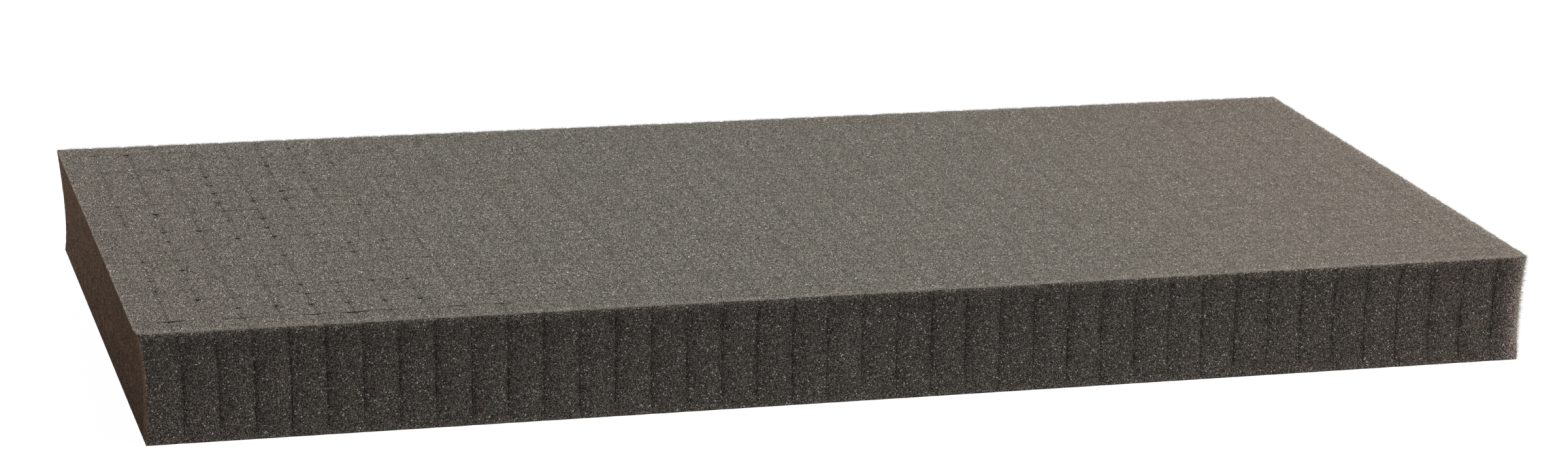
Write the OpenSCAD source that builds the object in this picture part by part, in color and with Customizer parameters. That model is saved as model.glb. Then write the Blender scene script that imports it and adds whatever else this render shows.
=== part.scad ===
// Foam block: one slab of open-cell foam, knife-cut from the top into a raster of small cubes.
// The cuts stop just above the underside, so the slab stays one piece and cubes can be plucked out.
// Millimetres. X along the length, Y along the depth with the front at -Y, Z up.
// The origin is the middle of the underside.

/* [Slab] */
// length over the top edges
slab_length = 600; // [300:5:1200]
// depth over the top edges
slab_depth = 300; // [150:5:600]
// thickness
slab_height = 47; // [20:1:120]

/* [Cut sides] */
// how far the foot of each side stands in from its top edge
foot_inset = 2; // [0:0.5:6]
// how deep each side hollows between its top edge and its foot
side_hollow = 1.8; // [0.5:0.1:5]

/* [Cube raster] */
// distance from one knife cut to the next
cube_pitch = 15; // [10:1:50]
// width of a knife cut at the top face, closing to nothing at its lower end
cut_width = 0.6; // [0.3:0.1:2]
// foam left whole under the cuts
uncut_base = 1.5; // [0.5:0.5:10]

/* [Hidden] */
foam_grey = [0.2, 0.19, 0.17];
arc_steps = 96;

// One cross-section of the slab: a comb of cubes on the uncut base, between two hollow sides.
module comb(span) {
    cubes = round(span / cube_pitch);
    first_cut = -(cubes - 2) / 2 * cube_pitch;
    last_cut = first_cut + (cubes - 2) * cube_pitch;
    // Each side is a shallow arc through the top edge and the foot.
    chord = norm([foot_inset, slab_height]);
    arc_radius = (chord * chord / 4 + side_hollow * side_hollow) / (2 * side_hollow);
    arc_reach = (arc_radius - side_hollow) / chord;
    // The blank stands out past the top edges, and the arcs trim it back to them.
    blank_half = span / 2 + side_hollow;

    difference() {
        polygon(concat(
            [[-blank_half, 0], [blank_half, 0], [blank_half, slab_height]],
            [
                for (x = [last_cut : -cube_pitch : first_cut])
                each [
                    [x + cut_width / 2, slab_height],
                    [x, uncut_base],
                    [x - cut_width / 2, slab_height]
                ]
            ],
            [[-blank_half, slab_height]]
        ));

        for (side = [-1, 1])
            translate([
                side * ((span - foot_inset) / 2 + arc_reach * slab_height),
                slab_height / 2 - arc_reach * foot_inset
            ])
                circle(r = arc_radius, $fn = arc_steps);
    }
}

// The comb runs through the slab both ways, and what the two runs share is the raster of cubes.
module foam_block() {
    color(foam_grey)
        intersection() {
            rotate([90, 0, 0])
                linear_extrude(height = slab_depth, center = true)
                    comb(slab_length);

            rotate([90, 0, 90])
                linear_extrude(height = slab_length, center = true)
                    comb(slab_depth);
        }
}

foam_block();
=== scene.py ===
import math

import bpy
import numpy as np
from mathutils import Euler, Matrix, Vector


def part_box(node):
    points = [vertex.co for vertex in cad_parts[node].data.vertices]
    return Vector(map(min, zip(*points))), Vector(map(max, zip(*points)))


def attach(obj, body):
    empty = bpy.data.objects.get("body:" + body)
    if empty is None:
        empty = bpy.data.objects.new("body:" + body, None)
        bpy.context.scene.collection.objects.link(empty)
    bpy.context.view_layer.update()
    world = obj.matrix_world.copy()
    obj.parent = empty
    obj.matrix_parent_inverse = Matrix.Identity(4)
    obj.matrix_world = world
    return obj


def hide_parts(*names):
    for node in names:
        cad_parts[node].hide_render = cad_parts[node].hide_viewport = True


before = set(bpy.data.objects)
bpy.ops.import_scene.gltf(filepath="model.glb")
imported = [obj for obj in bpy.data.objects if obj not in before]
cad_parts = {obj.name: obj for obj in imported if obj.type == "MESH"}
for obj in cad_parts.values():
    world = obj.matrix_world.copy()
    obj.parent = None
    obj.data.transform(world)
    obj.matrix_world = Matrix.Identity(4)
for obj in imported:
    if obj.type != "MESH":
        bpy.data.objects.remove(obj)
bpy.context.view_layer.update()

# A slab of open-cell foam, knife-cut from the top into cubes that still hold together.
# Everything is in metres, with the slab's length along X, its depth along Y and the front at -Y.

mm = 0.001
hair = 0.01 * mm   # what is nearer than this to a face of the plain box is on it
tiny = 1e-6        # keeps what is divided by from being nothing at all

lowCorner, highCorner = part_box("foam_block")
slabLength = highCorner.x - lowCorner.x
slabDepth = highCorner.y - lowCorner.y
slabHeight = highCorner.z - lowCorner.z
halfLength = slabLength / 2
halfDepth = slabDepth / 2
print("frame loaded:", [round(size / mm, 1) for size in (slabLength, slabDepth, slabHeight)], "mm")


def smooth(share):
    share = np.clip(share, 0.0, 1.0)
    return share * share * (3 - 2 * share)


def between(pair, share):
    return pair[0] + (pair[1] - pair[0]) * share


def hump(share, middleAndWidth):
    middle, width = middleAndWidth
    return np.exp(-((share - middle) / width) ** 2)


def scatter(dice, shape, most=2.0):  # random values around 0, none of them far off
    return dice.normal(0, 1, shape).clip(-most, most)


def wanderTable(dice, lines, knots):
    return dice.uniform(-1.0, 1.0, (lines, knots))


def readWander(table, line, share):  # a smooth random value for each line, share running 0 to 1 along it
    last = table.shape[1] - 1
    at = np.clip(share, 0.0, 1.0) * last
    low = np.minimum(at.astype(int), last - 1)
    part = smooth(at - low)
    return table[line, low] * (1 - part) + table[line, low + 1] * part


def faceGaps(x, y, z):
    # How far places on the plain box are from each of its faces but the underside
    return {
        "left": x + halfLength,
        "right": halfLength - x,
        "front": y + halfDepth,
        "back": halfDepth - y,
        "top": slabHeight - z,
    }


def newPiece(name, places, faces, marks=None):  # marks: by name, a value for each point
    mesh = bpy.data.meshes.new(name)
    mesh.from_pydata(places, [], faces)
    for markName, values in (marks or {}).items():
        mark = mesh.attributes.new(markName, "FLOAT", "POINT")
        mark.data.foreach_set("value", values.astype(np.float32))
    mesh.update()
    piece = bpy.data.objects.new(name, mesh)
    bpy.context.scene.collection.objects.link(piece)
    return piece


# The mesh of the slab, first as a plain box

raster = {
    "cubesAlong": 40,
    "cubesAcross": 20,
    # mm over one cube, from cut to cut, and over an outer cube from the slab's edge inward
    "innerLines": (0.0, 0.4, 1.8, 7.5, 13.2, 14.6, 15.0),
    "outerLines": (0.0, 0.35, 0.8, 1.4, 2.4, 5.0, 9.0, 13.2, 14.6, 15.0),
    # mm down the sides
    "rowsDown": (
        0.35, 0.8, 1.4, 2.4, 4, 6, 8.5, 11, 14, 17, 20, 23, 26, 29, 32, 35, 38, 41, 43.5, 45.3, 46.5, 47,
    ),
    "fineStep": 0.75 * mm,            # spacing of the points along the upper and upright edges
    "undersideReach": (0.99, 0.98),   # of half the length and half the depth
    "seed": 41,
}
cubeCount = {"X": raster["cubesAlong"], "Y": raster["cubesAcross"]}


def rasterLines(length, count):
    # at: place; cube: its cube; across: -1 to 1 over that cube; cut: the cut that a line is on, or -1;
    # lip: 1 or -1 on a cut's lips and 0 on its bottom
    span = raster["innerLines"][-1]
    step = length / count
    rows = []
    for cube in range(count):
        start = cube * step - length / 2
        spots = raster["innerLines"]
        if cube == 0:
            spots = raster["outerLines"]
        if cube == count - 1:
            spots = [span - spot for spot in raster["outerLines"][::-1]]
        for spot in spots:
            share = spot / span
            lip = (share == 0 and cube > 0) - (share == 1 and cube < count - 1)
            cut = cube - 1 if lip > 0 else cube if lip < 0 else -1
            rows.append((start + share * step, cube, 2 * share - 1, cut, lip))
        if cube < count - 1:
            rows.append((start + step, cube, 1.0, cube, 0))
    at, cube, across, cut, lip = np.array(rows).T
    return {"at": at, "cube": cube.astype(int), "across": across, "cut": cut.astype(int), "lip": lip}


def addPoint(points, x, y, z, i, j):
    # A place on the plain box, with the numbers of the lines it is on, or -1 between two lines
    points.append((x, y, z, i, j))
    return len(points) - 1


def layOutSlab(alongX, alongY):
    points = []
    countX, countY = len(alongX["at"]), len(alongY["at"])
    top = np.zeros((countX, countY), int)
    for i in range(countX):
        for j in range(countY):
            top[i, j] = addPoint(points, alongX["at"][i], alongY["at"][j], slabHeight, i, j)
    ring = [(i, 0) for i in range(countX)]
    ring += [(countX - 1, j) for j in range(1, countY)]
    ring += [(i, countY - 1) for i in range(countX - 2, -1, -1)]
    ring += [(0, j) for j in range(countY - 2, 0, -1)]
    rows = [[top[i, j] for i, j in ring]]
    for drop in raster["rowsDown"]:
        z = slabHeight * (1 - drop / raster["rowsDown"][-1])
        rows.append([addPoint(points, alongX["at"][i], alongY["at"][j], z, i, j) for i, j in ring])
    return points, top, rows


def fineEdges(points, top, rows):
    # Splits the mesh edges along the slab's upper and upright edges into short pieces
    extra = {}

    def split(a, b):
        if (a, b) in extra:
            return
        start, end = np.array(points[a][:3]), np.array(points[b][:3])
        pieces = int(round(np.linalg.norm(end - start) / raster["fineStep"]))
        if pieces < 2:
            return
        lines = [first if first == second else -1 for first, second in zip(points[a][3:], points[b][3:])]
        added = [addPoint(points, *(start + (end - start) * n / pieces), *lines) for n in range(1, pieces)]
        extra[a, b] = added
        extra[b, a] = added[::-1]

    count = len(rows[0])
    for m in range(count):
        split(rows[0][m], rows[0][(m + 1) % count])
        split(rows[1][m], rows[1][(m + 1) % count])
    lastX, lastY = top.shape[0] - 1, top.shape[1] - 1
    for i in range(1, lastX - 1):
        for j in (1, lastY - 1):
            split(top[i, j], top[i + 1, j])
    for j in range(1, lastY - 1):
        for i in (1, lastX - 1):
            split(top[i, j], top[i, j + 1])
    uprights = [0, lastX, lastX + lastY, 2 * lastX + lastY]
    for corner in uprights:
        for m in (corner - 1, corner, corner + 1):
            for k in range(1, len(rows) - 2):
                split(rows[k][m % count], rows[k + 1][m % count])
    return extra


def slabFaces(points, top, rows, extra):
    quads = []
    for i in range(top.shape[0] - 1):
        for j in range(top.shape[1] - 1):
            quads.append((top[i, j], top[i + 1, j], top[i + 1, j + 1], top[i, j + 1]))
    count = len(rows[0])
    for k in range(len(rows) - 1):
        for m in range(count):
            n = (m + 1) % count
            quads.append((rows[k + 1][m], rows[k + 1][n], rows[k][n], rows[k][m]))
    faces = []
    for quad in quads:
        runs = [extra.get((quad[n], quad[(n + 1) % 4]), []) for n in range(4)]
        if not any(runs):
            faces.append(quad)
            continue
        for first, second in ((0, 1), (1, 2)):
            # a strip, where two facing edges are split alike and the others aren't
            one, two = runs[first], runs[first + 2]
            rest = runs[second] or runs[(second + 2) % 4]
            if one and len(one) == len(two) and not rest:
                lower = [quad[first], *one, quad[first + 1]]
                upper = [quad[(first + 3) % 4], *two[::-1], quad[first + 2]]
                for n in range(len(lower) - 1):
                    faces.append((lower[n], lower[n + 1], upper[n + 1], upper[n]))
                break
        else:
            faces.append(tuple(v for n in range(4) for v in (quad[n], *runs[n])))
    # the underside: a narrow border and one flat face
    reachX, reachY = raster["undersideReach"]
    inner = []
    for point in rows[-1]:
        x, y, _, i, j = points[point]
        inner.append(addPoint(points, x * reachX, y * reachY, 0.0, i, j))
    for m in range(count):
        n = (m + 1) % count
        faces.append((inner[m], inner[n], rows[-1][n], rows[-1][m]))
    faces.append(tuple(inner[::-1]))
    return faces, np.array(inner)


def describePoints(points, alongX, alongY):
    # Each point's cube and its place over the cube, also for points between the lines
    x, y, z, i, j = (np.array(column) for column in zip(*points))
    known = {"x": x, "y": y, "z": z}
    for axis, lines, numbers, count, length in (
        ("X", alongX, i, cubeCount["X"], slabLength),
        ("Y", alongY, j, cubeCount["Y"], slabDepth),
    ):
        place = known[axis.lower()]
        share = (place + length / 2) / length * count
        cube = np.clip(np.floor(share), 0, count - 1).astype(int)
        across = 2 * (share - cube) - 1
        onLine = numbers >= 0
        known["cube" + axis] = np.where(onLine, lines["cube"][numbers], cube)
        known["across" + axis] = np.where(onLine, lines["across"][numbers], across)
        known["cut" + axis] = np.where(onLine, lines["cut"][numbers], -1)
        known["lip" + axis] = np.where(onLine, lines["lip"][numbers], 0.0)
    gaps = faceGaps(known["x"], known["y"], known["z"])
    known["fromTop"] = gaps.pop("top")
    known["gaps"] = gaps
    known["shareX"] = gaps["left"] / slabLength
    known["shareY"] = gaps["front"] / slabDepth
    known["down"] = known["fromTop"] / slabHeight
    return known


# The slab's form: from the plain box to cubes, cuts and hollow sides

cubes = {
    "crown": 0.07 * mm,          # how far a cube's top falls away at its cuts
    "crownPower": 8,
    "crownMost": 1.5,            # the most of that, where two cuts meet
    "lift": 0.012 * mm,          # how unevenly the cubes stand
    "tilt": 0.01 * mm,           # and how askew
    "loosenedLift": 0.03 * mm,   # what is added to the two where the slab has been handled
    "loosenedTilt": 0.015 * mm,
    "cornerDrop": 1.5 * mm,      # how far the lowest corners have come down there
    "leastDrop": 0.2,            # the least that an open crossing brings a corner down, as a share of that
    "frontCorners": 0.15,        # how far a cube's front corners drop, against its back ones
    "cornerReach": (0.27, 0.35),   # along X and along Y, of the way from a cube's edge to its middle
    "frontRowReach": 0.75,       # that reach along X in the front row, whose back edges have come down
    "elsewhere": 0.12,           # how far corners drop and cuts gape where the slab hasn't been handled
    "outerCalm": 0.3,            # the outer cubes' share of all that
    "topTo": 6 * mm,             # how far down the sides these forms of the tops reach
    "bulge": 0.95 * mm,          # how far the cubes bulge out of the cut sides
    "bulgePower": 2.6,
    "bulgeAtTop": (0.4, 10 * mm),    # its share at the top edge, and how far down it is all there
    "bulgeAtFoot": (0.25, 6 * mm),   # the same from the uncut base up
    "sideStep": 0.04 * mm,       # how unevenly the cubes stand out there
    "sideTilt": 0.06 * mm,
    "sideTo": 6 * mm,            # how far in from a side its bulges reach
}

cuts = {
    "depth": 3.2 * mm,           # how deep a cut is open
    "uncutBase": 1.5 * mm,
    "closedAt": 0.3,             # where a cut has closed, as a share of the uncut base
    "fullDepthAt": 3 * mm,       # how far above the uncut base a cut is as deep as elsewhere
    "leastDepth": 0.02,          # how much of that way it has gone already at the uncut base
    "room": 2.5,                 # how far in the bottoms of the cuts follow the outer faces, in depths
    "topGap": 0.02 * mm,
    "leastGap": 0.01 * mm,
    "openGap": {"X": 0.34 * mm, "Y": 0.4 * mm},   # where a cut across the length or along it gapes
    "openFrom": {"X": 0.35, "Y": 0.75},           # how far from the middle of a cube to its edge that begins
    "crossingRarity": 1.7,       # the higher, the fewer crossings gape
    "behindCrossing": 0.3,       # how much the cut behind a crossing gapes, against the one before it
    "longGape": {"X": 0.45, "Y": 0.2},   # how much a cut gapes between two crossings, against at a crossing
    "longGapeSpread": (1.6, -0.75),      # from a random -1 to 1: a factor, and what is added to it
    "sideFrom": 3 * mm,          # how far down a cut has taken on the look that it has on a side
    "sideGap": 0.014 * mm,
    "sideUnevenness": 1.0,       # how much that gap comes and goes down a side
    "wander": 0.12 * mm,         # how far the knife has strayed
    # the raster isn't quite even: how far the cuts stand off, from the left end to the right
    "drift": (0.3 * mm, -0.2 * mm, 0.6 * mm, 1.2 * mm, 2.1 * mm, 2.2 * mm),
    "courseKnots": 9,            # how often a cut's course changes over the top
    "sideCourseKnots": 4,        # and down a side
    "sideGapKnots": 13,          # and how often its gap does there
    # painted shade in the foam beside a cut: how strong and how wide on the top and on the sides
    "topCreaseShade": {"X": 0.12, "Y": 0.12},
    "sideCreaseShade": 0.50,
    "sideCreaseShadeMost": 1.4,       # the most of it where the gap is widest
    "creaseShadeReach": 1.0 * mm,
    "sideCreaseShadeReach": 1.2 * mm,
    "creaseShadePower": 1.5,
    "creaseShadeFullAt": 2 * mm,      # how far above the uncut base it is all there
    "lipShade": 0.3,             # its share inside a cut of the top, which is dark by itself
}

handling = {
    # where the slab has been handled: the middle and the width of each part, as shares of the length or depth
    "leftAlong": (0.1, 0.1),
    "leftClear": 0.06,           # how far that part stays from the front and the back
    "frontAlong": (0.12, 0.09),
    "frontAcross": (0.05, 0.04),
}

sides = {
    # deepest is how far down the hollow is deepest, and the lower the bluntness, the fuller the hollow.
    # cubesShow is how much the cubes and their cuts show on that side
    "left": {"edgeRound": 0.3 * mm, "hollow": 2.3 * mm, "deepest": 0.4, "bluntness": 1.2, "cubesShow": 0.12},
    "right": {"edgeRound": 0.9 * mm, "hollow": 0.6 * mm, "deepest": 0.45, "bluntness": 2.0, "cubesShow": 0.8},
    "front": {"edgeRound": 2.0 * mm, "hollow": 1.6 * mm, "deepest": 0.45, "bluntness": 2.0, "cubesShow": 1.0},
    "back": {"edgeRound": 0.8 * mm, "hollow": 1.6 * mm, "deepest": 0.5, "bluntness": 2.0, "cubesShow": 0.8},
    # the left side's hollow at its back. The higher the next value, the nearer to the front it takes over
    "backOfLeft": {"hollow": 1.3 * mm, "deepest": 0.62, "bluntness": 2.0},
    "backOfLeftFrom": 1.15,
    "hollowPower": 3,            # the higher, the less the inside of the slab follows its sides
    "roundMix": 1.5 * mm,        # how far from a corner the roundings of two sides run into each other
    "footRound": 0.12 * mm,
    "footRoundTo": 12 * mm,      # how far up the rounding grows from that
    "footInset": 2.0 * mm,
    # how far the top edge and the foot stand out beyond that, at the front and at the back of each end
    "leftTopOut": (1.3 * mm, 0.4 * mm),
    "leftFootOut": (-0.5 * mm, 0.0),
    "leftCorner": 0.72,          # how much of that is left right at the front corner
    "leftCornerRound": 9 * mm,   # and how far from the corner the left top edge starts to come in
    "rightTopOut": (0.15 * mm, 0.1 * mm),
    "rightFootOut": (0.4 * mm, 0.3 * mm),
    # and the foot of the front at its left and right end, and its top edge
    "frontFootOut": (1.25 * mm, 0.6 * mm),
    "frontTopOut": -0.9 * mm,
    # how far the back edge sags, from the left end to the right
    "backSag": (-0.4 * mm, 0.3 * mm, 0.5 * mm),
    "fray": 0.08 * mm,           # how ragged the upper and upright edges are
    "frayWidth": 2.6 * mm,
    "frayPower": 3,
    "frayMost": 2.2,             # the farthest that a point strays, as a multiple of that
    "frayFrom": 0.5 * mm,        # how far above the foot
    # how far the painted light of the torn pores reaches from an edge between two of these faces: the lesser
    # of the two
    "paintedRimWidth": {"left": 1.8 * mm, "right": 6.0 * mm, "front": 5.0 * mm, "back": 4.0 * mm, "top": 5.0 * mm},
    "paintedRightLight": 4.8,            # painted light near the right end, for light that comes through there, and how far in it reaches
    "paintedRightLightWidth": 9 * mm,
    "paintedRightLightTopWidth": 1.5 * mm,    # how far down that painted light takes to come up
    "paintedLeftLight": 0.35,            # the same painted light on the left side, near its front edge
    "paintedLeftLightWidth": 18 * mm,
    "paintedFootLight": 2.2,             # and painted light along the foot, for the light thrown up by the floor
    "paintedFootLightWidth": 2.4 * mm,
    "leftBrownWidth": 0.6 * mm,       # how far round the left edges the side's browner colour goes
    "leftBrownAtRim": 0.7,            # how much of the browner colour is left right at those edges
}


def fallAway(across, cube, count, power):
    # 0 over a cube's middle and 1 at its cuts, but not at the slab's own edges
    outer = ((cube == 0) & (across < 0)) | ((cube == count - 1) & (across > 0))
    return np.where(outer, 0.0, np.abs(across) ** power)


def handled(shareX, shareY):
    # 1 where the slab has been handled, which is most towards the left and a little along the front
    clear = handling["leftClear"]
    left = hump(shareX, handling["leftAlong"]) * smooth(shareY / clear) * smooth((1 - shareY) / clear)
    front = hump(shareY, handling["frontAcross"]) * hump(shareX, handling["frontAlong"])
    return np.clip(left + front, 0, 1)


def roundEdges(known):
    # Each side has its own rounding, and the foot is nearly sharp
    nearness = {side: np.exp(-gap / sides["roundMix"]) + tiny for side, gap in known["gaps"].items()}
    total = sum(nearness.values())
    radius = sum(nearness[side] * sides[side]["edgeRound"] for side in nearness) / total
    radius = between((sides["footRound"], radius), smooth(known["z"] / sides["footRoundTo"]))
    place = np.stack([known["x"], known["y"], known["z"]], 1)
    low = np.array([-halfLength, -halfDepth, 0.0]) + radius[:, None]
    high = np.array([halfLength, halfDepth, slabHeight]) - radius[:, None]
    core = np.clip(place, low, high)
    away = place - core
    length = np.maximum(np.linalg.norm(away, axis=1), tiny * mm)
    return core + away * (radius / length)[:, None]


def settleTops(known, dice):
    # How far the tops sink: crowned, a little higher, lower or askew, and with corners that have come down.
    # Also how open each crossing of two cuts is
    countX, countY = cubeCount["X"], cubeCount["Y"]
    cubeX, cubeY = known["cubeX"], known["cubeY"]
    acrossX, acrossY = known["acrossX"], known["acrossY"]
    loose = handled((np.arange(countX)[:, None] + 0.5) / countX, (np.arange(countY)[None, :] + 0.5) / countY)
    calm = np.full((countX, countY), cubes["outerCalm"])
    calm[1:-1, 1:-1] = 1.0
    lift = scatter(dice, calm.shape) * (cubes["lift"] + cubes["loosenedLift"] * loose) * calm
    tilt = (cubes["tilt"] + cubes["loosenedTilt"] * loose) * calm
    tiltX = scatter(dice, calm.shape) * tilt
    tiltY = scatter(dice, calm.shape) * tilt
    crown = fallAway(acrossX, cubeX, countX, cubes["crownPower"])
    crown = crown + fallAway(acrossY, cubeY, countY, cubes["crownPower"])
    sink = cubes["crown"] * np.minimum(crown, cubes["crownMost"])
    sink = sink - lift[cubeX, cubeY] - tiltX[cubeX, cubeY] * acrossX - tiltY[cubeX, cubeY] * acrossY

    crossings = dice.uniform(0, 1, (countX + 1, countY + 1)) ** cuts["crossingRarity"]
    drops = cubes["cornerDrop"] * dice.uniform(cubes["leastDrop"], 1, (countX, countY, 2, 2))
    for a, b in ((0, 0), (0, 1), (1, 0), (1, 1)):
        drops[:, :, a, b] *= crossings[a:a + countX, b:b + countY]
    calm[:, 0] = 1.0   # the front row's corners come down as freely as the inner ones
    drops = drops * between((cubes["elsewhere"], 1), loose * calm)[:, :, None, None]
    drops[:, :, :, 0] *= cubes["frontCorners"]
    reachX, reachY = cubes["cornerReach"]
    reachX = np.where(cubeY == 0, cubes["frontRowReach"], reachX)
    nearCorner = smooth((np.abs(acrossX) - 1) / reachX + 1) * smooth((np.abs(acrossY) - 1) / reachY + 1)
    sink = sink + drops[cubeX, cubeY, (acrossX > 0).astype(int), (acrossY > 0).astype(int)] * nearCorner
    return sink * (1 - smooth(known["fromTop"] / cubes["topTo"])), crossings


def bulgeSides(known, dice):
    # How far the cubes bulge out of the sides, or their cuts draw in, along X and along Y
    topShare, topReach = cubes["bulgeAtTop"]
    footShare, footReach = cubes["bulgeAtFoot"]
    full = between((footShare, 1), smooth((known["z"] - cuts["uncutBase"]) / footReach))
    full = full * between((topShare, 1), smooth(known["fromTop"] / topReach))
    shifts = {"X": 0.0, "Y": 0.0}
    for side, axis, inward, along in (
        ("front", "Y", 1, "X"),
        ("back", "Y", -1, "X"),
        ("left", "X", 1, "Y"),
        ("right", "X", -1, "Y"),
    ):
        count = cubeCount[along]
        cube, across = known["cube" + along], known["across" + along]
        step = scatter(dice, count) * cubes["sideStep"]
        tilt = scatter(dice, count) * cubes["sideTilt"]
        lean = scatter(dice, count) * cubes["sideStep"]
        inset = cubes["bulge"] * fallAway(across, cube, count, cubes["bulgePower"])
        inset = inset + step[cube] + tilt[cube] * across + lean[cube] * (1 - 2 * known["down"])
        nearSide = 1 - smooth(known["gaps"][side] / cubes["sideTo"])
        shifts[axis] = shifts[axis] + inward * inset * full * sides[side]["cubesShow"] * nearSide
    return shifts["X"], shifts["Y"]


def openCuts(known, axis, crossings, dice):
    # What the cuts across the length (X) or along it (Y) do to each point: how far they move it along that
    # axis, along the other one and down, and how much painted shade it gets beside them
    other = "Y" if axis == "X" else "X"
    lowSide, highSide = ("front", "back") if axis == "X" else ("left", "right")
    count = cubeCount[axis] - 1
    gaps, down, fromTop, share = known["gaps"], known["down"], known["fromTop"], known["share" + other]
    aboveBase = known["z"] - cuts["uncutBase"]
    cut, lip = known["cut" + axis], known["lip" + axis]
    cube, across = known["cube" + axis], known["across" + axis]
    otherCube, otherAcross = known["cube" + other], known["across" + other]
    halfCube = raster["innerLines"][-1] * mm / 2
    nearest = cube + (across > 0) - 1
    line = np.clip(nearest, 0, count - 1)
    lineShare = (line + 1) / (count + 1)
    away = (1 - np.abs(across)) * halfCube
    courses = wanderTable(dice, count, cuts["courseKnots"])
    gapes = wanderTable(dice, count, 2 * cubeCount[other] + 1)
    sideCourses = wanderTable(dice, count, cuts["sideCourseKnots"])
    sideGapes = wanderTable(dice, count, cuts["sideGapKnots"])

    # how far they gape, most at the crossings of the handled part
    loosened = handled(lineShare, share) if axis == "X" else handled(share, lineShare)
    openFrom = cuts["openFrom"][axis]
    nearCrossing = smooth((np.abs(otherAcross) - openFrom) / (1 - openFrom))
    otherLine = otherCube + (otherAcross > 0)
    if axis == "X":
        nearCrossing = nearCrossing * np.where(otherAcross > 0, 1.0, cuts["behindCrossing"])
        crossing = crossings[line + 1, otherLine] * nearCrossing
    else:
        crossing = crossings[otherLine, line + 1] * nearCrossing
    factor, offset = cuts["longGapeSpread"]
    gape = np.clip(readWander(gapes, line, share) * factor + offset, 0, 1) * loosened * cuts["longGape"][axis]
    gape = np.maximum(gape, crossing * between((cubes["elsewhere"], 1), loosened))
    onSide = smooth(fromTop / cuts["sideFrom"])
    shows = np.ones_like(onSide)
    for side in (lowSide, highSide):
        shows = np.where(gaps[side] < cubes["sideTo"], sides[side]["cubesShow"], shows)
    ajar = 1 + cuts["sideUnevenness"] * readWander(sideGapes, line, down)
    width = between((cuts["topGap"], cuts["openGap"][axis]), gape) * (1 - onSide)
    width = width + cuts["sideGap"] * shows * ajar * onSide
    width = width * smooth((known["z"] - cuts["closedAt"] * cuts["uncutBase"]) / cuts["uncutBase"])
    width = np.maximum(width, cuts["leastGap"])

    # the cubes' faces go with their cuts, and the cuts' bottom follows the outline at their depth
    course = readWander(courses, line, share) * cuts["wander"]
    course = course + readWander(sideCourses, line, down) * cuts["wander"] * onSide
    if axis == "X":
        knots = np.linspace(0, 1, len(cuts["drift"]))
        course = course + np.interp(lineShare, knots, cuts["drift"])
    follow = np.where((nearest >= 0) & (nearest < count), np.clip(1 - away / halfCube, 0, 1), 0)
    shift = course * follow + np.where(cut >= 0, lip * width / 2, 0.0)
    depth = cuts["depth"] * smooth(aboveBase / cuts["fullDepthAt"] + cuts["leastDepth"])
    deep = np.where((cut >= 0) & (lip == 0), depth, 0.0)
    room = cuts["room"] * cuts["depth"]
    inset = np.where(gaps[lowSide] < room, deep * (1 - gaps[lowSide] / room), 0.0)
    inset = inset - np.where(gaps[highSide] < room, deep * (1 - gaps[highSide] / room), 0.0)
    drop = np.where(fromTop < room, deep * (1 - fromTop / room), 0.0)

    # the painted shade that they leave in the surface beside them
    strength = between((cuts["topCreaseShade"][axis], 1.0), gape) * (1 - onSide)
    strength = strength + cuts["sideCreaseShade"] * shows * np.minimum(ajar, cuts["sideCreaseShadeMost"]) * onSide
    strength = strength * smooth(aboveBase / cuts["creaseShadeFullAt"])
    strength = strength * np.where((cut >= 0) & (onSide < 0.5), cuts["lipShade"], 1.0)
    reach = between((cuts["creaseShadeReach"], cuts["sideCreaseShadeReach"]), onSide)
    paintedCreaseShade = np.where(follow > 0, strength * np.exp(-(away / reach) ** cuts["creaseShadePower"]), 0)
    return shift, inset, drop, paintedCreaseShade


def hollowOf(form, down):
    rise, fall = form["bluntness"] * form["deepest"], form["bluntness"] * (1 - form["deepest"])
    shape = np.clip(down, 0, 1) ** rise * np.clip(1 - down, 0, 1) ** fall
    return form["hollow"] * shape / (form["deepest"] ** rise * (1 - form["deepest"]) ** fall)


def hollowSides(known):
    # How far the hollow sides draw the slab in along X and along Y, on a foot that stands in a little
    down, shareX, shareY = known["down"], known["shareX"], known["shareY"]
    hollows = {side: hollowOf(sides[side], down) for side in known["gaps"]}
    backOfLeft = hollowOf(sides["backOfLeft"], down)
    hollows["left"] = between((hollows["left"], backOfLeft), smooth(shareY * sides["backOfLeftFrom"]))
    atCorner = smooth(known["gaps"]["front"] / sides["leftCornerRound"])
    atCorner = between((sides["leftCorner"], 1.0), atCorner)
    leftOut = between(sides["leftTopOut"], shareY) * (1 - down) * atCorner
    leftOut = leftOut + between(sides["leftFootOut"], shareY) * down
    rightOut = between(sides["rightTopOut"], shareY) * (1 - down)
    rightOut = rightOut + between(sides["rightFootOut"], shareY) * down
    frontOut = between(sides["frontFootOut"], shareX) * down + sides["frontTopOut"] * (1 - down)
    foot = sides["footInset"] * down
    atLeft, atFront = known["x"] < 0, known["y"] < 0
    insetX = foot + np.where(atLeft, hollows["left"] - leftOut, hollows["right"] - rightOut)
    insetY = foot + np.where(atFront, hollows["front"] - frontOut, hollows["back"])
    weightX = (np.abs(known["x"]) / halfLength) ** sides["hollowPower"]
    weightY = (np.abs(known["y"]) / halfDepth) ** sides["hollowPower"]
    return np.sign(known["x"]) * weightX * insetX, np.sign(known["y"]) * weightY * insetY


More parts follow.
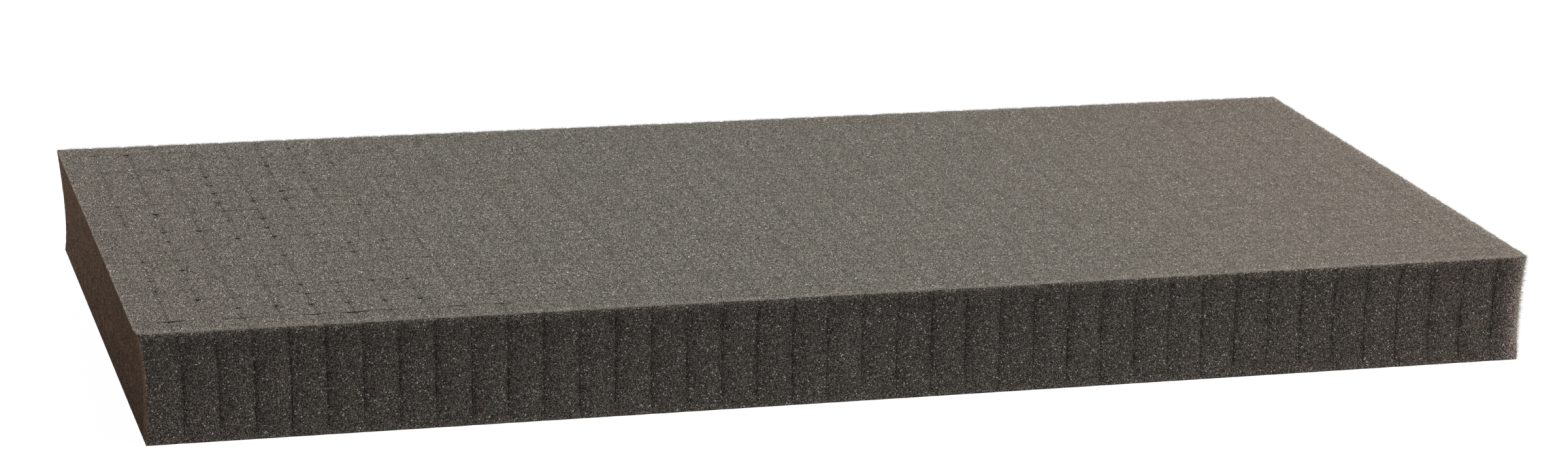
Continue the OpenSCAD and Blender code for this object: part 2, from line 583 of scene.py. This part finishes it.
def shapeSlab(known, inner, dice):
    x, y, z = roundEdges(known).T
    sink, crossings = settleTops(known, dice)
    z = z - sink
    bulgeX, bulgeY = bulgeSides(known, dice)
    x = x + bulgeX
    y = y + bulgeY
    shift, inset, drop, paintedCreaseShadeX = openCuts(known, "X", crossings, dice)
    x = x + shift
    y = y + inset
    z = z - drop
    shift, inset, drop, paintedCreaseShadeY = openCuts(known, "Y", crossings, dice)
    x = x + inset
    y = y + shift
    z = z - drop
    drawX, drawY = hollowSides(known)
    x = x - drawX
    y = y - drawY
    sag = np.interp(known["shareX"], np.linspace(0, 1, len(sides["backSag"])), sides["backSag"])
    z = z - sag * smooth(known["shareY"]) ** 2 * (1 - known["down"])
    z[inner] = 0.0
    return np.stack([x, y, z], 1), np.maximum(paintedCreaseShadeX, paintedCreaseShadeY)


def edgeCloseness(known, widths):
    # 1 on the slab's upper and upright edges and 0 a width in from them
    gaps = faceGaps(known["x"], known["y"], known["z"])
    away = np.stack(list(gaps.values()), 1)
    nearestTwo = np.argsort(away, axis=1)[:, :2]
    toEdge = np.take_along_axis(away, nearestTwo, axis=1)[:, 1]
    width = np.array([widths[face] for face in gaps])[nearestTwo].min(axis=1)
    return 1 - smooth(toEdge / width)


def frayEdges(places, known, dice):
    # The edges are a little ragged, away from the cuts
    closeness = edgeCloseness(known, dict.fromkeys(sides["paintedRimWidth"], sides["frayWidth"]))
    plain = (known["cutX"] < 0) & (known["cutY"] < 0) & (known["z"] > sides["frayFrom"])
    reach = np.where(plain, closeness ** sides["frayPower"], 0)[:, None] * sides["fray"]
    return places + scatter(dice, places.shape, sides["frayMost"]) * reach


def surfaceMarks(known, paintedCreaseShade):
    # What the foam's material has to know of each point
    gaps = known["gaps"]
    closeness = edgeCloseness(known, sides["paintedRimWidth"])
    leftBrown = 1 - smooth(gaps["left"] / sides["leftBrownWidth"])
    leftBrown = leftBrown * between((1.0, sides["leftBrownAtRim"]), closeness)
    paintedRightLight = 1 - smooth(gaps["right"] / sides["paintedRightLightWidth"])
    paintedRightLight = paintedRightLight * smooth(known["fromTop"] / sides["paintedRightLightTopWidth"])
    paintedRightLight = paintedRightLight * (1 - smooth(gaps["front"] / sides["paintedRightLightWidth"]))
    paintedLeftLight = (1 - smooth(gaps["front"] / sides["paintedLeftLightWidth"])) * leftBrown
    paintedFootLight = (1 - smooth(known["z"] / sides["paintedFootLightWidth"])) * (1 - leftBrown)
    # painted light: lighter along the edges, near the right end, near the left side's front edge and along
    # the foot
    rim = closeness + paintedRightLight * sides["paintedRightLight"] + paintedLeftLight * sides["paintedLeftLight"]
    rim = rim + paintedFootLight * sides["paintedFootLight"]
    return {"rim": rim, "leftBrown": leftBrown, "paintedCreaseShade": paintedCreaseShade}


def makeFoamSlab():
    dice = np.random.default_rng(raster["seed"])
    alongX = rasterLines(slabLength, cubeCount["X"])
    alongY = rasterLines(slabDepth, cubeCount["Y"])
    points, top, rows = layOutSlab(alongX, alongY)
    extra = fineEdges(points, top, rows)
    faces, inner = slabFaces(points, top, rows, extra)
    known = describePoints(points, alongX, alongY)
    places, paintedCreaseShade = shapeSlab(known, inner, dice)
    places = frayEdges(places, known, dice)
    slab = newPiece("foamSlab", places.tolist(), faces, surfaceMarks(known, paintedCreaseShade))
    mesh = slab.data
    # the walls of the cuts and the underside are flat
    inCut = ((known["cutX"] >= 0) & (known["lipX"] == 0)) | ((known["cutY"] >= 0) & (known["lipY"] == 0))
    rounded = [not any(inCut[point] for point in face) for face in faces]
    rounded[-1] = False
    mesh.polygons.foreach_set("use_smooth", rounded)
    mesh.validate()
    mesh.update()
    triangles = sum(len(face.vertices) - 2 for face in mesh.polygons)
    print("foam slab:", len(mesh.vertices), "points,", triangles, "triangles")
    return slab, places, known, faces


# Torn struts that stand out of the edges

struts = {
    # for each side: struts per square mm, the longest, and the width of their band on the top and on the side
    "left": {"density": 4.0, "longest": 0.9 * mm, "onTop": 0.8 * mm, "onSide": 0.8 * mm},
    "right": {"density": 40.0, "longest": 3.4 * mm, "onTop": 2.6 * mm, "onSide": 4.5 * mm},
    "front": {"density": 13.0, "longest": 1.4 * mm, "onTop": 1.0 * mm, "onSide": 1.0 * mm},
    "back": {"density": 60.0, "longest": 3.0 * mm, "onTop": 2.4 * mm, "onSide": 0.6 * mm},
    "endBand": 4.5 * mm,            # how near to an end a strut is the end's, and how far down uprights begin
    "onUprights": 0.8,              # how much denser and thicker they are on the upright edges
    "thickerOnUprights": 1.8,
    "besideEnds": 0.35,             # and how dense on the front and back there, against on the ends
    "gathering": 1.5,               # the higher, the closer to the edge they stand
    "fromFoot": 0.3 * mm,
    "splay": 0.55,                  # how far they lean every way
    "shortest": 0.2 * mm,
    "shortness": 1.7,               # the higher, the more of them are short
    "longestUp": (0.55, 0.9, 1.0, 0.9),   # the longest, as a share of that, from the foot to the top
    "longestOnTop": 0.5,                  # and along the upper edges
    "upperBand": 1.5 * mm,          # how far down the upright edges count as upper edges
    "thickness": 0.044 * mm,
    "thicknessSpread": (0.7, 1.3),
    "footCorners": ((1.0, 0.0), (-0.5, 0.87), (-0.5, -0.87)),   # in thicknesses
    "sunk": 0.15 * mm,              # how far their feet stand in the foam
    "seed": 7,
}


def strutOdds(ownSides, known, quads, areas):
    # For each quad of the slab: how many struts to expect, the longest, and whether it is on an upright edge
    middle = np.stack([known["x"], known["y"], known["z"]], 1)[quads].mean(axis=1)
    gaps = faceGaps(*middle.T)
    toEdge = np.sort(np.stack(list(gaps.values()), 1), axis=1)[:, 1]
    upperGap = gaps.pop("top")
    onUpright = upperGap > struts["endBand"]
    toEnd = np.minimum(gaps["left"], gaps["right"])
    nearEnd = toEnd < struts["endBand"]
    # an upright edge belongs to the end that it is on
    sideGaps = np.stack([gap - (side in ("left", "right")) * hair for side, gap in gaps.items()], 1)
    ownSide = np.argmin(sideGaps, axis=1)
    ownSide = np.where(nearEnd, (gaps["right"] < gaps["left"]).astype(int), ownSide)
    density, longest, onTop, onSide = np.array([list(struts[side].values()) for side in gaps])[ownSide].T
    density = density * np.array([side in ownSides for side in gaps])[ownSide]
    density = np.where(onUpright, density * struts["onUprights"], density)
    density = np.where(nearEnd & (toEnd > hair), density * struts["besideEnds"], density)
    onCut = ((known["cutX"][quads] >= 0) | (known["cutY"][quads] >= 0)).any(axis=1)
    nearness = np.clip(1 - toEdge / np.where(upperGap < hair, onTop, onSide), 0, 1) ** struts["gathering"]
    bare = onCut | (middle[:, 2] < struts["fromFoot"])
    chance = np.where(bare, 0, areas * density * nearness / mm ** 2)
    shares = struts["longestUp"]
    upShare = np.interp(middle[:, 2] / slabHeight, np.linspace(0, 1, len(shares)), shares)
    longest = longest * np.where(upperGap > struts["upperBand"], upShare, struts["longestOnTop"])
    return chance, longest, onUpright


def makeEdgeStruts(name, ownSides, places, known, faces):
    dice = np.random.default_rng(struts["seed"])
    quads = np.array([face for face in faces if len(face) == 4])
    real = places[quads]
    cross = np.cross(real[:, 2] - real[:, 0], real[:, 3] - real[:, 1])
    doubleArea = np.linalg.norm(cross, axis=1)
    normal = cross / np.maximum(doubleArea, tiny * mm ** 2)[:, None]
    chance, longest, onUpright = strutOdds(ownSides, known, quads, doubleArea / 2)
    chosen = np.repeat(np.arange(len(quads)), dice.poisson(chance))
    u, v = dice.uniform(0, 1, (2, len(chosen), 1))
    four = real[chosen]
    root = (four[:, 0] * (1 - u) + four[:, 1] * u) * (1 - v) + (four[:, 3] * (1 - u) + four[:, 2] * u) * v
    aim = normal[chosen] + dice.normal(0, struts["splay"], root.shape)
    aim /= np.linalg.norm(aim, axis=1)[:, None]
    longer = dice.uniform(0, 1, (len(root), 1)) ** struts["shortness"]
    length = between((struts["shortest"], longest[chosen, None]), longer)
    aside = np.cross(aim, dice.normal(0, 1, root.shape))
    aside /= np.linalg.norm(aside, axis=1)[:, None]
    other = np.cross(aim, aside)
    thick = struts["thickness"] * dice.uniform(*struts["thicknessSpread"], (len(root), 1))
    thick = thick * np.where(onUpright[chosen, None], struts["thickerOnUprights"], 1)
    foot = root - aim * struts["sunk"]
    spike = [foot + (a * aside + b * other) * thick for a, b in struts["footCorners"]]
    points = np.stack([*spike, root + aim * length], 1).reshape(-1, 3)
    first = np.arange(len(root))[:, None] * 4
    spikeFaces = ((0, 2, 1), (0, 1, 3), (1, 2, 3), (2, 0, 3))
    triangles = np.concatenate([first + np.array(face) for face in spikeFaces])
    tips = np.tile([0.0, 0.0, 0.0, 1.0], len(root))
    piece = newPiece(name, points.tolist(), triangles.tolist(), {"tip": tips})
    piece.visible_shadow = False
    print(name + ":", len(root), "struts")
    return piece


# Finishes

foamLook = {
    "colour": (0.1545, 0.1395, 0.1205),
    "paintedSideLight": (0.965, 0.93, 0.945),      # painted light: the sides a little darker and greyer than the top, as the light on them is
    "leftBrownColour": (0.178, 0.119, 0.086),   # the left side is browner
    "coolestAt": 0.43,         # how far along from the left end the foam is coolest, to warm towards its ends
    "coolTint": (0.941, 0.97, 0.97),
    "warmTint": (1.045, 1.0, 1.0),
    "upwards": (0.5, 0.9),     # over which tilt of a face's normal its look turns from a side's to the top's
    "poresPerMetre": 4400,
    "standing": 0.34,          # drawn out along the depth on the top, where the struts stand up
    "dark": 0.28,              # the darkest pore and the middle tone, as shares of the colour
    "middle": 0.95,
    "contrast": (4.4, 2.2),    # of the pores on the sides and on the top; the sides' higher one is painted shade of the pores where the light grazes
    "calmAtRight": 0.30,       # how much the top's contrast falls towards the right, which is further away
    "driftsPerMetre": 800,     # soft changes of tone
    "drift": 0.45,
    "patchesPerMetre": 45,     # broad patches where the foam is lighter or darker
    "patch": 0.14,
    "tintsPerMetre": 300,      # and soft changes of colour
    "tint": (0.17, 0.17, 0.10),
    "streaksPerMetre": 400,    # on the browner left side, where the knife has left them
    "streakLength": 0.35,
    "streak": 1.1,
    "paintedRimLight": 0.26,          # how much lighter the torn edges are painted, for the light that they catch
    "leftPaintedRimLight": 1.1,       # and what the browner left side adds to that painted light
    "creaseShade": 0.44,       # painted shade along the cuts
    "creaseBreak": (-2.4, 0.2),   # how the drifts break that shade up: a factor, and what is added to it
    "leastShade": 0.1,
    # painted glints: bright cells that stand in for struts catching the light
    "paintedGlintsPerMetre": 2400,
    "finerOnTop": 0.5,
    "paintedGlintShare": (0.022, 0.012),   # of the sides and of the top
    "paintedGlintColour": (1.0, 0.98, 0.94),
    "topPaintedGlintColour": (0.90, 0.87, 0.83),
    "faintest": 0.2,           # the faintest painted glint, as a share of the strongest
    "leftPaintedGlintCut": -0.8,         # what the browner left side takes off these painted glints
    "roughness": 0.95,
    "gloss": 0.0,
    "bump": 0.5,
    "bumpHeight": 0.18 * mm,
}

strutLook = {
    # painted light: much lighter than the foam, for the light that comes through the thin struts
    "colour": (0.45, 0.43, 0.395),
    "paintedTipLight": 0.25,          # how much lighter their thin tips are painted, for the light through them
    "tonesPerMetre": 3000,
    "unevenness": 1.4,
    "letsThrough": 0.4,
}


def newTree(holder):
    holder.use_nodes = True
    holder.node_tree.nodes.clear()
    return holder.node_tree


def newNode(tree, kind, inputs=None, **settings):
    node = tree.nodes.new(kind)
    for name, value in settings.items():
        setattr(node, name, value)
    for name, value in (inputs or {}).items():
        fill(tree, node.inputs[name], value)
    return node


def fill(tree, socket, value):  # from another node, or with a plain value
    if isinstance(value, bpy.types.NodeSocket):
        tree.links.new(value, socket)
    elif isinstance(value, tuple) and socket.type == "RGBA" and len(value) == 3:
        socket.default_value = (*value, 1.0)
    else:
        socket.default_value = value


def mathStep(tree, operation, *values):
    node = newNode(tree, "ShaderNodeMath", operation=operation)
    for socket, value in zip(node.inputs, values):
        fill(tree, socket, value)
    return node.outputs[0]


def times(tree, first, second):
    return mathStep(tree, "MULTIPLY", first, second)


def timesPlus(tree, first, second, added):
    return mathStep(tree, "MULTIPLY_ADD", first, second, added)


def vectorStep(tree, operation, *values):
    node = newNode(tree, "ShaderNodeVectorMath", operation=operation)
    for socket, value in zip(node.inputs, values):
        fill(tree, socket, value)
    return node.outputs[0]


def scaled(tree, vector, factor):
    node = newNode(tree, "ShaderNodeVectorMath", {"Scale": factor}, operation="SCALE")
    fill(tree, node.inputs[0], vector)
    return node.outputs[0]


def blendColours(tree, share, first, second, mode="MIX"):
    node = newNode(tree, "ShaderNodeMix", data_type="RGBA", blend_type=mode)
    for n, value in ((0, share), (6, first), (7, second)):
        fill(tree, node.inputs[n], value)
    return node.outputs[2]


def mixShaders(tree, share, first, second):
    node = newNode(tree, "ShaderNodeMixShader", {"Fac": share})
    tree.links.new(first, node.inputs[1])
    tree.links.new(second, node.inputs[2])
    return node.outputs[0]


def ramp(tree, value, low, high):  # 0 under low, 1 over high
    inputs = {"Value": value, "From Min": low, "From Max": high}
    node = newNode(tree, "ShaderNodeMapRange", inputs, interpolation_type="SMOOTHSTEP", clamp=True)
    return node.outputs["Result"]


def cellColours(tree, where, perMetre):  # two random values for each cell
    inputs = {"Vector": where, "Scale": perMetre}
    cells = newNode(tree, "ShaderNodeTexVoronoi", inputs, voronoi_dimensions="3D")
    parts = newNode(tree, "ShaderNodeSeparateColor", {"Color": cells.outputs["Color"]})
    return parts.outputs[0], parts.outputs[1]


def softNoise(tree, where, perMetre, detail=2.0):
    inputs = {"Vector": where, "Scale": perMetre, "Detail": detail}
    return newNode(tree, "ShaderNodeTexNoise", inputs, noise_dimensions="3D").outputs


def aroundOne(tree, noise, spread):  # a noise of 0 to 1, brought to lie evenly around 1
    return timesPlus(tree, noise, spread, 1 - spread / 2)


def attributeOf(tree, name):
    return newNode(tree, "ShaderNodeAttribute", attribute_name=name).outputs["Fac"]


def partOf(tree, vector, axis):
    return newNode(tree, "ShaderNodeSeparateXYZ", {"Vector": vector}).outputs[axis]


def poreTone(tree, catch, up, calm):
    # every pore and strut gets its own random tone, most of them dark: the foam's grain, with painted shade
    # of the open pores in it
    onSides, onTop = foamLook["contrast"]
    contrast = timesPlus(tree, up, onTop - onSides, onSides)
    caught = mathStep(tree, "POWER", catch, contrast)
    gain = mathStep(tree, "ADD", contrast, 1.0)
    gain = times(tree, gain, foamLook["middle"] - foamLook["dark"])
    tone = timesPlus(tree, caught, gain, foamLook["dark"])
    tone = mathStep(tree, "SUBTRACT", tone, foamLook["middle"])
    return timesPlus(tree, tone, calm, foamLook["middle"])


def plainColour(tree, where, whereX, up, leftBrown):
    # the foam's colour: painted darker and greyer on the sides for the light there, browner at the left,
    # warmer at the ends, and softly uneven
    pairs = zip(foamLook["colour"], foamLook["paintedSideLight"])
    paintedSideColour = tuple(part * tint for part, tint in pairs)
    colour = blendColours(tree, up, paintedSideColour, foamLook["colour"])
    colour = blendColours(tree, leftBrown, colour, foamLook["leftBrownColour"])
    noise = softNoise(tree, where, foamLook["tintsPerMetre"], 1.0)["Color"]
    middleTint = tuple(1 - share / 2 for share in foamLook["tint"])
    tint = vectorStep(tree, "MULTIPLY_ADD", noise, foamLook["tint"], middleTint)
    colour = blendColours(tree, 1.0, colour, tint, "MULTIPLY")
    fromCoolest = timesPlus(tree, whereX, 1 / slabLength, 0.5 - foamLook["coolestAt"])
    warmth = times(tree, fromCoolest, fromCoolest)
    warmth = mathStep(tree, "DIVIDE", warmth, (1 - foamLook["coolestAt"]) ** 2)
    lengthTint = blendColours(tree, warmth, foamLook["coolTint"], foamLook["warmTint"])
    return blendColours(tree, 1.0, colour, lengthTint, "MULTIPLY")


def lightAndShade(tree, where, drift, leftBrown):
    # painted light on the torn edges, painted shade along the cuts broken up by the drifts, and the knife's
    # streaks down the browner left side
    rim = timesPlus(tree, leftBrown, foamLook["leftPaintedRimLight"], foamLook["paintedRimLight"])
    rim = timesPlus(tree, attributeOf(tree, "rim"), rim, 1.0)
    factor, offset = (part * foamLook["creaseShade"] for part in foamLook["creaseBreak"])
    broken = timesPlus(tree, drift, factor, offset)
    shade = timesPlus(tree, attributeOf(tree, "paintedCreaseShade"), broken, 1.0)
    shade = mathStep(tree, "MAXIMUM", shade, foamLook["leastShade"])
    along = vectorStep(tree, "MULTIPLY", where, (1, 1, foamLook["streakLength"]))
    streaks = softNoise(tree, along, foamLook["streaksPerMetre"], 1.0)["Fac"]
    streak = timesPlus(tree, streaks, foamLook["streak"], -foamLook["streak"] / 2)
    streak = timesPlus(tree, streak, leftBrown, 1.0)
    return times(tree, times(tree, rim, shade), streak)


def addPaintedGlints(tree, colour, poreWhere, up, leftBrown, calm):
    # painted glints: a few cells lightened in the colour, as if their struts faced the light
    onSides, onTop = foamLook["paintedGlintShare"]
    least = timesPlus(tree, up, onSides - onTop, 1 - onSides)
    finer = scaled(tree, poreWhere, timesPlus(tree, up, foamLook["finerOnTop"], 1.0))
    chance, strength = cellColours(tree, finer, foamLook["paintedGlintsPerMetre"])
    paintedGlint = mathStep(tree, "GREATER_THAN", chance, least)
    strength = timesPlus(tree, strength, 1 - foamLook["faintest"], foamLook["faintest"])
    paintedGlint = times(tree, paintedGlint, times(tree, strength, calm))
    awayFromLeft = timesPlus(tree, leftBrown, foamLook["leftPaintedGlintCut"], 1.0)
    paintedGlint = times(tree, paintedGlint, awayFromLeft)
    paintedGlintColour = blendColours(tree, up, foamLook["paintedGlintColour"], foamLook["topPaintedGlintColour"])
    return blendColours(tree, paintedGlint, colour, paintedGlintColour)


def foamMaterial():
    material = bpy.data.materials.new("openCellFoam")
    tree = newTree(material)
    where = newNode(tree, "ShaderNodeTexCoord").outputs["Object"]
    whereX = partOf(tree, where, "X")
    normal = newNode(tree, "ShaderNodeNewGeometry").outputs["Normal"]
    up = ramp(tree, partOf(tree, normal, "Z"), *foamLook["upwards"])
    leftBrown = attributeOf(tree, "leftBrown")
    calm = times(tree, ramp(tree, whereX, -halfLength / 2, halfLength), up)
    calm = timesPlus(tree, calm, -foamLook["calmAtRight"], 1.0)

    stretch = newNode(tree, "ShaderNodeMix", data_type="VECTOR")
    for n, value in ((0, up), (4, (1, 1, 1)), (5, (1, foamLook["standing"], 1))):
        fill(tree, stretch.inputs[n], value)
    poreWhere = vectorStep(tree, "MULTIPLY", where, stretch.outputs[1])
    catch = cellColours(tree, poreWhere, foamLook["poresPerMetre"])[0]
    tone = poreTone(tree, catch, up, calm)
    drift = softNoise(tree, where, foamLook["driftsPerMetre"])["Fac"]
    patches = softNoise(tree, where, foamLook["patchesPerMetre"])["Fac"]
    drifted = aroundOne(tree, drift, foamLook["drift"])
    drifted = times(tree, drifted, aroundOne(tree, patches, foamLook["patch"]))
    level = times(tree, tone, drifted)
    level = times(tree, level, lightAndShade(tree, where, drift, leftBrown))
    colour = scaled(tree, plainColour(tree, where, whereX, up, leftBrown), level)
    colour = addPaintedGlints(tree, colour, poreWhere, up, leftBrown, calm)

    bump = newNode(tree, "ShaderNodeBump", {
        "Strength": foamLook["bump"],
        "Distance": foamLook["bumpHeight"],
        "Height": catch,
    })
    shader = newNode(tree, "ShaderNodeBsdfPrincipled", {
        "Base Color": colour,
        "Roughness": foamLook["roughness"],
        "Specular IOR Level": foamLook["gloss"],
        "Normal": bump.outputs["Normal"],
    })
    newNode(tree, "ShaderNodeOutputMaterial", {"Surface": shader.outputs[0]})
    return material


def strutMaterial():  # struts on their own are so thin that they let some light through, and their colour is painted lighter for it
    material = bpy.data.materials.new("thinStruts")
    tree = newTree(material)
    where = newNode(tree, "ShaderNodeTexCoord").outputs["Object"]
    noise = softNoise(tree, where, strutLook["tonesPerMetre"])["Fac"]
    tone = aroundOne(tree, noise, strutLook["unevenness"])
    thin = timesPlus(tree, attributeOf(tree, "tip"), strutLook["paintedTipLight"], 1.0)
    colour = scaled(tree, strutLook["colour"], times(tree, tone, thin))
    back = newNode(tree, "ShaderNodeBsdfDiffuse", {"Color": colour})
    through = newNode(tree, "ShaderNodeBsdfTranslucent", {"Color": colour})
    look = mixShaders(tree, strutLook["letsThrough"], back.outputs[0], through.outputs[0])
    newNode(tree, "ShaderNodeOutputMaterial", {"Surface": look})
    return material


# The studio

studio = {
    "floorSize": 60.0,
    "floorDrop": -0.1 * mm,
    "floorTone": 0.38,        # what the floor throws back at the foam
    "litTone": 0.9,           # what it looks like in the lamps' light
    "shadowShare": 0.06,      # how much of its look that is, so that it shows a shadow
    "whiteness": 1.045,       # brings the open floor up to plain white
    "skyTone": (0.97, 0.99, 1.04),
    "skyGlow": 0.08,
}

lamps = {
    "over": {
        "place": (0.75, -0.17, 1.6),
        "aim": (0.08, -0.02, 0.0),
        "size": 1.4,
        "power": 45.0,
        "tint": (1.0, 0.99, 0.975),
    },
    "left": {
        "place": (-0.70, 0.60, 0.30),
        "aim": (-0.3, 0.05, 0.02),
        "size": 0.3,
        "power": 2.3,
        "tint": (0.97, 1.0, 1.02),
    },
}

shot = {
    "place": (-0.49223, -1.79390, 0.54581),
    "turn": (74.5199, -1.1939, -15.2234),   # degrees
    "lens": 98.85,
    "sensor": 36.0,
    "farthest": 100.0,
}


def plainLookMix(tree, thrown, look):
    # one shader for what the camera sees, also in gloss or through glass, and another for the light it throws
    path = newNode(tree, "ShaderNodeLightPath").outputs
    seen = mathStep(tree, "MAXIMUM", path["Is Camera Ray"], path["Is Glossy Ray"])
    seen = mathStep(tree, "MAXIMUM", seen, path["Is Transmission Ray"])
    return mixShaders(tree, seen, thrown, look)


def makeFloor():
    half = studio["floorSize"] / 2
    drop = studio["floorDrop"]
    corners = [(x * half, y * half, drop) for x, y in ((-1, -1), (1, -1), (1, 1), (-1, 1))]
    floor = newPiece("floor", corners, [(0, 1, 2, 3)])
    material = bpy.data.materials.new("paleFloor")
    tree = newTree(material)
    thrown = newNode(tree, "ShaderNodeBsdfDiffuse", {"Color": (studio["floorTone"],) * 3})
    lit = newNode(tree, "ShaderNodeBsdfDiffuse", {"Color": (studio["litTone"],) * 3})
    white = newNode(tree, "ShaderNodeEmission", {"Color": (1, 1, 1), "Strength": studio["whiteness"]})
    look = mixShaders(tree, studio["shadowShare"], white.outputs[0], lit.outputs[0])
    newNode(tree, "ShaderNodeOutputMaterial", {"Surface": plainLookMix(tree, thrown.outputs[0], look)})
    floor.data.materials.append(material)


def makeSky():
    world = bpy.data.worlds.new("paleRoom")
    bpy.context.scene.world = world
    tree = newTree(world)
    glow = newNode(tree, "ShaderNodeBackground", {"Color": studio["skyTone"], "Strength": studio["skyGlow"]})
    white = newNode(tree, "ShaderNodeBackground", {"Color": (1, 1, 1), "Strength": 1.0})
    look = plainLookMix(tree, glow.outputs[0], white.outputs[0])
    newNode(tree, "ShaderNodeOutputWorld", {"Surface": look})


def makeLamps():
    for name, lamp in lamps.items():
        light = bpy.data.lights.new(name, "AREA")
        light.shape = "SQUARE"
        light.size = lamp["size"]
        light.energy = lamp["power"]
        light.color = lamp["tint"]
        holder = bpy.data.objects.new(name, light)
        holder.location = lamp["place"]
        toAim = [b - a for a, b in zip(lamp["place"], lamp["aim"])]
        flat = math.hypot(toAim[0], toAim[1])
        holder.rotation_euler = (math.atan2(flat, -toAim[2]), 0, math.atan2(-toAim[0], toAim[1]))
        holder.visible_camera = False
        bpy.context.scene.collection.objects.link(holder)


def makeCamera():
    data = bpy.data.cameras.new("camera")
    data.sensor_width = shot["sensor"]
    data.lens = shot["lens"]
    data.clip_end = shot["farthest"]
    camera = bpy.data.objects.new("camera", data)
    camera.location = shot["place"]
    camera.rotation_euler = Euler([math.radians(angle) for angle in shot["turn"]])
    bpy.context.scene.collection.objects.link(camera)
    bpy.context.scene.camera = camera


makeCamera()
foamSlab, slabPlaces, slabKnown, slabFaceList = makeFoamSlab()
rightStruts = makeEdgeStruts("rightStruts", ("right",), slabPlaces, slabKnown, slabFaceList)
otherStruts = makeEdgeStruts("otherStruts", ("left", "front", "back"), slabPlaces, slabKnown, slabFaceList)
foamSlab.data.materials.append(foamMaterial())
thinStruts = strutMaterial()
for piece in (rightStruts, otherStruts):
    piece.data.materials.append(thinStruts)
for piece in (foamSlab, rightStruts, otherStruts):
    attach(piece, "root")
    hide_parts("foam_block")
print("foam finished")

makeFloor()
makeSky()
makeLamps()
bpy.context.scene.view_settings.view_transform = "Standard"
print("studio lit")
